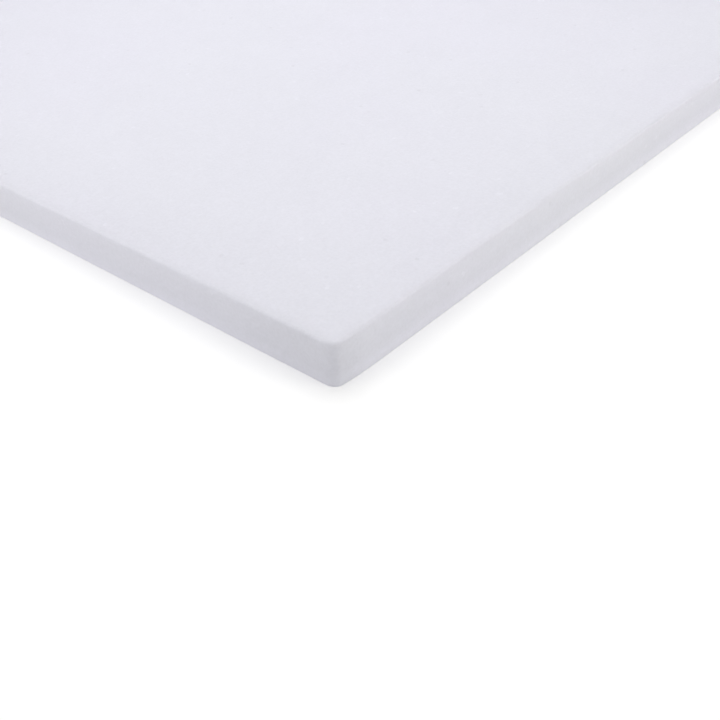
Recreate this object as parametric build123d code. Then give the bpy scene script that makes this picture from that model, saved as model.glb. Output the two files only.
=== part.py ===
from build123d import *
import os

# A board of fine-celled white foam, split from a block and cut to size, lying on its lower face.
# Sizes are millimetres. The origin is the centre of the lower face, with Z up through the board.

# The board's three outer sizes, along X, Y and Z
board_length = 500.0
board_width = 500.0
board_thickness = 20.0

# The blade rounds the upright corners as it turns, and leaves a soft arris round each broad face
corner_radius = 6.5
arris_radius = 1.2


def foam_board():
    """The whole board is one piece of foam: two broad flat faces and four straight cut sides."""
    outline = RectangleRounded(board_length, board_width, corner_radius)
    slab = extrude(outline, board_thickness)
    rims = slab.faces().filter_by(Axis.Z).edges()
    return fillet(rims, arris_radius)


os.makedirs("parts", exist_ok=True)
export_step(foam_board(), "parts/foam_board.step")
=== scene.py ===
import math

import bpy
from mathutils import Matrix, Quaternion, Vector, noise


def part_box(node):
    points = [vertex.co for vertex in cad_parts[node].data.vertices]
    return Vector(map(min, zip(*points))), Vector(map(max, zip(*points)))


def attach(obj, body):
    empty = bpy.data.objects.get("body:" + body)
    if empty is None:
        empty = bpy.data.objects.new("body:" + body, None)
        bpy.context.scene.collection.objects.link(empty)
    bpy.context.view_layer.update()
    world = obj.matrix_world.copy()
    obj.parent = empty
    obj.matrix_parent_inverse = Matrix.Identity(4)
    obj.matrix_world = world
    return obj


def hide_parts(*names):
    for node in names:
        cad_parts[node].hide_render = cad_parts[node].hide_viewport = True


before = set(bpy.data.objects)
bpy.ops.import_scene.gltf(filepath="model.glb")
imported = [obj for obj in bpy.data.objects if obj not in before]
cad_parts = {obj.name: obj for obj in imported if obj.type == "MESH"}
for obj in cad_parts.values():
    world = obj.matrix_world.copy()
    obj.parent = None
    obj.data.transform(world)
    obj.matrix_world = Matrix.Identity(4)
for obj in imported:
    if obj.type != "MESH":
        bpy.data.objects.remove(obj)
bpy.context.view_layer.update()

# One board of fine-celled white foam on a white floor, seen from above its nearest corner.
# Sizes are metres in the part's own frame, with Z up through the board and its lower face at zero.

mm = 0.001

# The board's outer sizes come from the frame. Each corner is rounded tighter on one half than the other
box_low, box_high = (Vector(corner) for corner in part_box("foam_board"))
centre = (box_low + box_high) / 2
half_length, half_width, _ = (box_high - box_low) / 2
floor_level = box_low.z
thickness = box_high.z - box_low.z
tight_radius = 3.5 * mm
broad_radius = 7 * mm
upper_arris = 1.2 * mm
lower_arris = 0.05 * mm

# How finely the board is meshed. A side is half a corner, a straight stretch and half a corner
half_corner_steps = 8
straight_steps = 384
side_steps = straight_steps + 2 * half_corner_steps
arris_steps = 6
cut_steps = 14
rim_width = 12 * mm

# Rings on a broad face from its edge to the rim: how far across each is, and whether it has half as
# many points as the ring before
face_rings = ((0.10, False), (0.28, True), (0.58, True), (1.0, False))

# How far the real board strays from a true slab
blade_wander = 0.08 * mm
blade_wave = 62 * mm
blade_wave_up = 34 * mm
cut_ripple = 0.05 * mm
ripple_wave = 7 * mm
torn_cells = 0.05 * mm
torn_wave = 2.1 * mm
arris_change = 0.15
arris_wave = 23 * mm
face_swell = 0.12 * mm
face_wave = 95 * mm
edge_droop = 0.40 * mm
droop_width = 3.6 * mm

# Each corner is knocked in a little on one flank, most of all at its foot
knock_foot = 1.1 * mm
knock_head = 0.4 * mm
knock_reach = 10 * mm

# The foam's cells. The height of a crumb and the depth of a pit are multiples of the cells' relief
cell_size = 1.5 * mm
cell_relief = 0.07 * mm
crumb_size = 1.2 * mm
crumb_height = 0.8
pit_size = 2.8 * mm
pit_spacing = 14 * mm
pit_depth = 1.5

# The share of a pit's radius that is at full depth, the share of pits that are fainter than the rest,
# and the share of cells that glint
pit_floor_share = 0.4
faint_pit_share = 0.6
glint_share = 0.0015

# The faint level lines that the blade left
drag_size = 22 * mm
drag_stretch = (1, 1, 14)

# The foam's white, cool with a breath of violet that comes and goes
cool_white = (0.820, 0.819, 0.896, 1)
violet_white = (0.822, 0.817, 0.902, 1)
violet_size = 140 * mm
violet_start = 0.35
violet_end = 0.65

# How much each pattern lightens and darkens the white: the mottle, clouds and drag lines as the foam's own
# tone, the cups and crumbs as grain with painted shade that follows their relief, the pits as painted shade
# and the glints as a painted highlight. The cups leave it as it is where they are at their middle
cup_painted_shade = 0.035
cup_middle = 0.45
crumb_painted_shade = 0.055
mottle_size = 4 * mm
mottle_shade = 0.025
cloud_size = 35 * mm
cloud_shade = 0.02
drag_shade = 0.02
pit_painted_shade = -0.05
glint_painted_highlight = 0.04

# The foot is paler, with painted light against the shade where it meets the floor, to a greater height on
# the two sides that face along Y
foot_painted_light = 0.09
foot_height = 7 * mm
foot_height_facing_y = 8.5 * mm

# Painted shade on the upper arris and near the corners, and painted shade where light leaks out of the foam
# near an edge. The arris starts at a share of the thickness, and level_start is how far up or down a normal
# points where a broad face begins. The corners' shade reaches further along Y than along X
arris_painted_shade = 0.042
arris_shade_width = 6 * mm
arris_start = 0.9
edge_painted_shade = 0.022
edge_shade_width = 55 * mm
level_start = 0.7
corner_painted_shade = 0.075
corner_shade_along_y = 70 * mm
corner_shade_along_x = 20 * mm

# How the foam takes light. Towards the foot, less of it goes below the surface
light_depth = 3 * mm
foam_roughness = 0.8
glint_roughness = 0.6
foam_gloss = 0.25

# The lamps beyond the two near sides give a faintly warm light
left_warmth = (1.0, 0.985, 0.895)
right_warmth = (1.0, 0.985, 0.855)

# The colour of the room and of the white that the camera sees
pure_white = (1.0, 1.0, 1.0, 1)

# The room's light, which is dimmer on the side the picture is taken from
room_strength = 0.580
dim_strength = 0.405
dim_side = (-0.7071, -0.7071, 0.0)
dim_start = 0.2
dim_end = 0.9

# The floor, whose glow and fade are only for rays that show the surroundings
floor_white = (0.95, 0.95, 0.955, 1)
floor_lift = 0.2
fade_start = 0.40
fade_end = 0.80
floor_reach = 6.0
floor_gap = 0.005 * mm


def wave(point, length, seed):
    """Smooth noise between about -1 and 1 at a point, whose bumps are one length apart.

    The seed moves the point to another part of the noise.
    """
    return noise.noise(Vector(point) / length + Vector((seed, 2.3 * seed, 0.7 * seed)))


def station(side, step):
    """A point of the outline and its outward direction, for a step along one of the four sides.

    A side starts with the tight half of one corner and ends with the broad half of the next.
    """
    outward = Vector((0, -1, 0))
    outward.rotate(Quaternion((0, 0, 1), math.radians(90 * side)))
    along = Vector((-outward.y, outward.x, 0))
    reach_along, reach_out = (half_length, half_width) if side % 2 == 0 else (half_width, half_length)
    half_corner = math.radians(45)
    shared = (tight_radius + broad_radius) * (1 - math.cos(half_corner))
    start = shared + tight_radius * math.tan(half_corner / 2) - reach_along
    end = reach_along - shared - broad_radius * math.tan(half_corner / 2)
    if step < half_corner_steps:
        radius, arc_centre, turn = tight_radius, start, half_corner * (step / half_corner_steps - 1)
    elif step <= half_corner_steps + straight_steps:
        share = (step - half_corner_steps) / straight_steps
        radius, arc_centre, turn = 0.0, start + (end - start) * share, 0.0
    else:
        past = step - half_corner_steps - straight_steps
        radius, arc_centre, turn = broad_radius, end, half_corner * past / half_corner_steps
    facing = along * math.sin(turn) + outward * math.cos(turn)
    point = along * arc_centre + outward * (reach_out - radius) + facing * radius
    return point, facing


def rim_station(side, step):
    """The same step on the plain rectangle that bounds the middle of a broad face."""
    outward = Vector((0, -1, 0))
    outward.rotate(Quaternion((0, 0, 1), math.radians(90 * side)))
    along = Vector((-outward.y, outward.x, 0))
    reach_along, reach_out = (half_length, half_width) if side % 2 == 0 else (half_width, half_length)
    run = reach_along - rim_width
    return along * run * (2 * step / side_steps - 1) + outward * (reach_out - rim_width)


def edge_section(lower, upper):
    """The section through the edge from the lower face to the upper, as (inset, height) pairs."""
    section = []
    for i in range(arris_steps + 1):
        turn = math.radians(90) * i / arris_steps
        section.append((lower * (1 - math.sin(turn)), lower * (1 - math.cos(turn))))
    for i in range(1, cut_steps):
        section.append((0.0, lower + (thickness - lower - upper) * i / cut_steps))
    for i in range(arris_steps + 1):
        turn = math.radians(90) * i / arris_steps
        section.append((upper * (1 - math.cos(turn)), thickness - upper * (1 - math.sin(turn))))
    return section


def face_height(point, edge_distance, upper):
    """Height of a broad face: flat below, and above it swells a little and droops at its edge."""
    if not upper:
        return floor_level
    swell = face_swell * wave(point, face_wave, seed=5.1)
    return floor_level + thickness + swell - edge_droop * math.exp(-edge_distance / droop_width)


def knock(point, facing, height):
    """How far the side is pressed in at a point near a corner."""
    to_corner = half_length - abs(point.x)
    depth = knock_foot + (knock_head - knock_foot) * height / thickness
    return depth * facing.y ** 2 * math.exp(-(to_corner / knock_reach) ** 2)


def cut_offset(point, height):
    """How far the blade strayed outward at a point of the cut side."""
    place = (point.x, point.y, height * blade_wave / blade_wave_up)
    offset = blade_wander * wave(place, blade_wave, seed=1.7)
    place = (point.x, point.y, height)
    offset += cut_ripple * wave(place, ripple_wave, seed=3.9)
    return offset + torn_cells * wave(place, torn_wave, seed=8.3)


def build_board():
    """The board's mesh: a band of rows round the edge, and a grid on each broad face."""
    points, faces = [], []

    def add(point):
        points.append(point)
        return len(points) - 1

    outline = [station(side, step) for side in range(4) for step in range(side_steps)]
    rim = [rim_station(side, step) for side in range(4) for step in range(side_steps)]
    count = len(outline)

    # The band round the edge, one column of points for each station. The broad face's swell and droop
    # fade towards the middle of the cut side
    columns = []
    for point, facing in outline:
        softness = 1 + arris_change * wave(point, arris_wave, seed=6.6)
        column = []
        for inset, height in edge_section(lower_arris * softness, upper_arris * softness):
            place = point + facing * (cut_offset(point, height) - knock(point, facing, height) - inset)
            base = face_height(place, inset, height > thickness / 2)
            shift = base - (floor_level + (thickness if height > thickness / 2 else 0.0))
            share = min(1.0, abs(height - thickness / 2) / (thickness / 2))
            column.append(add(Vector((place.x, place.y, floor_level + height + shift * share))))
        columns.append(column)
    for i in range(count):
        left, right = columns[i], columns[(i + 1) % count]
        for j in range(len(left) - 1):
            faces.append((left[j], right[j], right[j + 1], left[j + 1]))

    # Each broad face: rings that halve in number towards the rim, then a square grid
    for upper in (True, False):
        ring = [column[-1 if upper else 0] for column in columns]
        edge = [points[index].copy() for index in ring]
        spacing = 1
        for blend, halve in face_rings:
            step = spacing * (2 if halve else 1)
            inner = []
            for i in range(0, count, step):
                place = edge[i].lerp(rim[i], blend)
                place.z = face_height(place, blend * rim_width, upper)
                inner.append(add(place))
            total = len(inner)
            for i in range(total):
                after = (i + 1) % total
                if halve:
                    first, middle, last = ring[2 * i], ring[2 * i + 1], ring[(2 * i + 2) % len(ring)]
                    new = [(first, middle, inner[i]), (middle, inner[after], inner[i]),
                           (middle, last, inner[after])]
                else:
                    new = [(ring[i], ring[after], inner[after], inner[i])]
                faces.extend(new if upper else [face[::-1] for face in new])
            ring, spacing = inner, step

        squares = len(ring) // 4
        grid = {}
        for side in range(4):
            for step in range(squares):
                back = squares - step
                i, j = ((step, 0), (squares, step), (back, squares), (0, back))[side]
                grid[i, j] = ring[side * squares + step]
        corner, across, up = points[grid[0, 0]], points[grid[squares, 0]], points[grid[0, squares]]
        for i in range(1, squares):
            for j in range(1, squares):
                place = corner + (across - corner) * i / squares + (up - corner) * j / squares
                place.z = face_height(place, rim_width, upper)
                grid[i, j] = add(place)
        for i in range(squares):
            for j in range(squares):
                face = (grid[i, j], grid[i + 1, j], grid[i + 1, j + 1], grid[i, j + 1])
                faces.append(face if upper else face[::-1])

    mesh = bpy.data.meshes.new("board")
    mesh.from_pydata([point + Vector((centre.x, centre.y, 0)) for point in points], [], faces)
    mesh.polygons.foreach_set("use_smooth", [True] * len(mesh.polygons))
    mesh.update()
    board = bpy.data.objects.new("board", mesh)
    bpy.context.scene.collection.objects.link(board)
    return board


def node(tree, kind, inputs=(), **settings):
    """A new shader node with its settings, and its inputs set to values or linked to other sockets."""
    made = tree.nodes.new("ShaderNode" + kind)
    for name, value in settings.items():
        setattr(made, name, value)
    for name, value in dict(inputs).items():
        if isinstance(value, bpy.types.NodeSocket):
            tree.links.new(value, made.inputs[name])
        else:
            made.inputs[name].default_value = value
    return made


def calculate(tree, operation, *values):
    """The result of one sum on sockets or numbers."""
    return node(tree, "Math", enumerate(values), operation=operation).outputs[0]


def ramp(tree, value, start, end, low=0.0, high=1.0):
    """A value that eases from low to high as the given one goes from start to end."""
    inputs = {"Value": value, "From Min": start, "From Max": end, "To Min": low, "To Max": high}
    return node(tree, "MapRange", inputs, interpolation_type="SMOOTHSTEP").outputs["Result"]


def cells(tree, place, size):
    """A random packing of cells of one size.

    It gives how far each place is from its cell's centre, and a colour drawn at random for each cell.
    """
    packing = node(tree, "TexVoronoi", {"Vector": place, "Scale": 1 / size})
    return packing.outputs["Distance"], packing.outputs["Color"]


def clouds(tree, place, size, detail=2.0):
    """Soft noise between 0 and 1, with blotches of one size."""
    return node(tree, "TexNoise", {"Vector": place, "Scale": 1 / size, "Detail": detail}).outputs["Fac"]


def vary(tree, shade, pattern, depth, middle=0.5):
    """A shade made lighter or darker by a depth times how far the pattern is above its middle."""
    return calculate(tree, "MULTIPLY_ADD", calculate(tree, "SUBTRACT", pattern, middle), depth, shade)


def painted_edge_and_corner_shade(tree, place, facing):
    """How much painted shade darkens a place. Near the edge of a broad face it stands in for light leaking
    out of the foam, and it also darkens the four corners and the upper arris.
    """
    parts = node(tree, "SeparateXYZ", {"Vector": place})
    reach_x = calculate(tree, "SUBTRACT", half_length, calculate(tree, "ABSOLUTE", parts.outputs["X"]))
    reach_y = calculate(tree, "SUBTRACT", half_width, calculate(tree, "ABSOLUTE", parts.outputs["Y"]))
    to_side = calculate(tree, "MINIMUM", reach_x, reach_y)
    upper = ramp(tree, parts.outputs["Z"], floor_level + arris_start * thickness, floor_level + thickness)
    along_arris = ramp(tree, to_side, 0.0, arris_shade_width, arris_painted_shade, 0.0)
    along_arris = calculate(tree, "MULTIPLY", upper, along_arris)
    at_corner = ramp(tree, reach_y, 0.0, corner_shade_along_y, corner_painted_shade, 0.0)
    near_corner = ramp(tree, reach_x, 0.0, corner_shade_along_x, 1.0, 0.0)
    at_corner = calculate(tree, "MULTIPLY", at_corner, near_corner)
    at_corner = calculate(tree, "MULTIPLY", at_corner, calculate(tree, "SUBTRACT", 1.0, upper))
    leaked = ramp(tree, to_side, 0.0, edge_shade_width, edge_painted_shade, 0.0)
    up = calculate(tree, "ABSOLUTE", node(tree, "SeparateXYZ", {"Vector": facing}).outputs["Z"])
    leaked = calculate(tree, "MULTIPLY", leaked, ramp(tree, up, level_start, 1.0))
    return calculate(tree, "ADD", calculate(tree, "ADD", along_arris, at_corner), leaked)


def foam_material():
    """White foam, matt and slightly translucent: fine cells, a few open pits and glints, cloudy tone, and
    painted shade and light on its relief, edges, corners and foot.
    """
    material = bpy.data.materials.new("white_foam")
    material.use_nodes = True
    tree = material.node_tree
    coordinates = node(tree, "TexCoord").outputs
    place = coordinates["Object"]

    # The cells' thin walls stand a little proud of their cups
    cup, cell_colour = cells(tree, place, cell_size)
    crumb = clouds(tree, place, crumb_size)
    relief = calculate(tree, "ADD", cup, calculate(tree, "MULTIPLY", crumb, crumb_height))

    # Here and there a larger cell lies open, darkened with painted shade, or a wall catches the light,
    # lightened with a painted highlight as well as made glossier
    pit_distance, pit_colour = cells(tree, place, pit_spacing)
    pit_radius = 0.5 * pit_size / pit_spacing
    pit = ramp(tree, pit_distance, pit_floor_share * pit_radius, pit_radius, 1.0, 0.0)
    pit_luck = node(tree, "SeparateColor", {"Color": pit_colour}).outputs["Red"]
    pit = calculate(tree, "MULTIPLY", pit, ramp(tree, pit_luck, 0.0, faint_pit_share))
    glint_luck = node(tree, "SeparateColor", {"Color": cell_colour}).outputs["Red"]
    glint = calculate(tree, "GREATER_THAN", glint_luck, 1 - glint_share)

    # The blade leaves faint lines along the cut sides, which run level
    level = node(tree, "VectorMath", {0: place, 1: drag_stretch}, operation="MULTIPLY").outputs["Vector"]
    drag = clouds(tree, level, drag_size, detail=3.0)

    # Grain with painted shade that follows the relief: darker in the cups, lighter on the crumbs
    shade = vary(tree, 1.0, cup, cup_painted_shade, cup_middle)
    shade = vary(tree, shade, crumb, crumb_painted_shade)
    shade = vary(tree, shade, clouds(tree, place, mottle_size), mottle_shade)
    shade = vary(tree, shade, clouds(tree, place, cloud_size), cloud_shade)
    shade = vary(tree, shade, drag, drag_shade)
    # Painted shade in the open pits, and a painted highlight on the cells that glint
    shade = vary(tree, shade, pit, pit_painted_shade, middle=0.0)
    shade = vary(tree, shade, glint, glint_painted_highlight, middle=0.0)
    # Painted shade near the edges of the broad faces, at the corners and along the upper arris
    shade = calculate(tree, "SUBTRACT", shade, painted_edge_and_corner_shade(tree, place, coordinates["Normal"]))

    # The foot is paler, with painted light against the shade where it meets the floor
    height = node(tree, "SeparateXYZ", {"Vector": place}).outputs["Z"]
    facing_y = node(tree, "SeparateXYZ", {"Vector": coordinates["Normal"]}).outputs["Y"]
    facing_y = calculate(tree, "ABSOLUTE", facing_y)
    foot_top = ramp(tree, facing_y, 0.0, 1.0, floor_level + foot_height, floor_level + foot_height_facing_y)
    foot = ramp(tree, height, floor_level, foot_top, foot_painted_light, 0.0)
    shade = calculate(tree, "ADD", shade, foot)

    # The two whites are a mix node's colour sockets, which go by number because their names repeat
    violet = ramp(tree, clouds(tree, place, violet_size, detail=1.0), violet_start, violet_end)
    tint = node(tree, "Mix", {0: violet, 6: cool_white, 7: violet_white}, data_type="RGBA").outputs[2]
    colour = node(tree, "VectorMath", {0: tint, "Scale": shade}, operation="SCALE").outputs["Vector"]

    surface = calculate(tree, "SUBTRACT", relief, calculate(tree, "MULTIPLY", pit, pit_depth))
    surface = calculate(tree, "ADD", surface, drag)
    bump = node(tree, "Bump", {"Height": surface, "Distance": cell_relief, "Strength": 1.0})

    shader = tree.nodes["Principled BSDF"]
    shader.subsurface_method = "BURLEY"
    tree.links.new(colour, shader.inputs["Base Color"])
    tree.links.new(bump.outputs["Normal"], shader.inputs["Normal"])
    roughness = calculate(tree, "MULTIPLY_ADD", glint, glint_roughness - foam_roughness, foam_roughness)
    tree.links.new(roughness, shader.inputs["Roughness"])
    shader.inputs["Specular IOR Level"].default_value = foam_gloss
    light_within = ramp(tree, height, floor_level, floor_level + foot_height)
    tree.links.new(light_within, shader.inputs["Subsurface Weight"])
    shader.inputs["Subsurface Radius"].default_value = (1.0, 1.0, 1.0)
    shader.inputs["Subsurface Scale"].default_value = light_depth
    return material


def seen_ray(tree):
    """One for a ray that shows the surroundings: a camera, glossy or transmission ray."""
    rays = node(tree, "LightPath").outputs
    return calculate(tree, "MAXIMUM", rays["Is Camera Ray"],
                     calculate(tree, "MAXIMUM", rays["Is Glossy Ray"], rays["Is Transmission Ray"]))


def floor_material():
    """White floor that keeps the board's shadow, and that the camera sees fade into the white room."""
    material = bpy.data.materials.new("white_floor")
    material.use_nodes = True
    tree = material.node_tree
    tree.nodes.remove(tree.nodes["Principled BSDF"])
    paint = node(tree, "BsdfDiffuse", {"Color": floor_white})
    seen = seen_ray(tree)
    place = node(tree, "TexCoord").outputs["Object"]
    away = node(tree, "VectorMath", {0: place}, operation="LENGTH").outputs["Value"]
    fade = calculate(tree, "MULTIPLY", seen, ramp(tree, away, fade_start, fade_end))
    lift = calculate(tree, "MULTIPLY", seen, floor_lift)
    glow = node(tree, "Emission", {"Color": pure_white, "Strength": lift}).outputs[0]
    near = node(tree, "AddShader", {0: paint.outputs[0], 1: glow}).outputs[0]
    far = node(tree, "Emission", {"Color": pure_white, "Strength": 1.0}).outputs[0]
    blend = node(tree, "MixShader", {0: fade, 1: near, 2: far}).outputs[0]
    tree.links.new(blend, tree.nodes["Material Output"].inputs["Surface"])
    return material


def make_floor():
    """A wide flat floor just under the board."""
    corners = [(-1, -1), (1, -1), (1, 1), (-1, 1)]
    height = floor_level - floor_gap
    mesh = bpy.data.meshes.new("floor")
    mesh.from_pydata([(x * floor_reach, y * floor_reach, height) for x, y in corners], [], [(0, 1, 2, 3)])
    floor = bpy.data.objects.new("floor", mesh)
    bpy.context.scene.collection.objects.link(floor)
    mesh.materials.append(floor_material())


def softbox(name, place, aim, size, power, colour=(1.0, 1.0, 1.0)):
    """A square studio light at a place, turned to a point."""
    lamp = bpy.data.lights.new(name, "AREA")
    lamp.shape = "SQUARE"
    lamp.size = size
    lamp.energy = power
    lamp.color = colour
    box = bpy.data.objects.new(name, lamp)
    box.location = place
    box.rotation_mode = "QUATERNION"
    box.rotation_quaternion = (Vector(aim) - Vector(place)).to_track_quat("-Z", "Y")
    box.visible_camera = False
    bpy.context.scene.collection.objects.link(box)


def make_lights():
    """Plain soft studio light: a pale room, a big box overhead and a low box beyond each near side."""
    world = bpy.data.worlds.new("room")
    bpy.context.scene.world = world
    world.use_nodes = True
    tree = world.node_tree
    tree.nodes.remove(tree.nodes["Background"])
    towards = node(tree, "TexCoord").outputs["Generated"]
    front = node(tree, "VectorMath", {0: towards, 1: dim_side}, operation="DOT_PRODUCT").outputs["Value"]
    strength = ramp(tree, front, dim_start, dim_end, room_strength, dim_strength)
    room = node(tree, "Background", {"Color": pure_white, "Strength": strength}).outputs[0]
    white = node(tree, "Background", {"Color": pure_white, "Strength": 1.0}).outputs[0]
    blend = node(tree, "MixShader", {0: seen_ray(tree), 1: room, 2: white}).outputs[0]
    tree.links.new(blend, tree.nodes["World Output"].inputs["Surface"])

    softbox("overhead", place=(0.05, 0.10, 0.70), aim=(0, 0, 0), size=0.8, power=2.88)
    softbox("left_side", place=(-0.60, 0.00, 0.20), aim=(-0.25, -0.05, 0), size=0.3, power=0.268,
            colour=left_warmth)
    softbox("right_side", place=(-0.02, -0.65, 0.20), aim=(-0.05, -0.25, 0), size=0.3, power=0.447,
            colour=right_warmth)


def make_camera():
    """The photograph's view: a normal lens close above the nearest corner, rolled slightly."""
    photo_pixels = 720
    focal_pixels = 1021
    place = Vector((-0.4500, -0.4536, 0.2275))
    aim = Vector((-0.2505, -0.2624, 0.0200))
    roll = math.radians(-3.96)
    data = bpy.data.cameras.new("camera")
    data.sensor_width = 36
    data.lens = focal_pixels / photo_pixels * data.sensor_width
    data.clip_start = 0.01
    camera = bpy.data.objects.new("camera", data)
    camera.location = place
    camera.rotation_mode = "QUATERNION"
    facing = (aim - place).to_track_quat("-Z", "Y")
    camera.rotation_quaternion = facing @ Quaternion((0, 0, 1), roll)
    bpy.context.scene.collection.objects.link(camera)
    bpy.context.scene.camera = camera


board = build_board()
board.data.materials.append(foam_material())
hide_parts("foam_board")
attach(board, "root")

make_floor()
make_lights()
make_camera()
bpy.context.scene.view_settings.view_transform = "Standard"
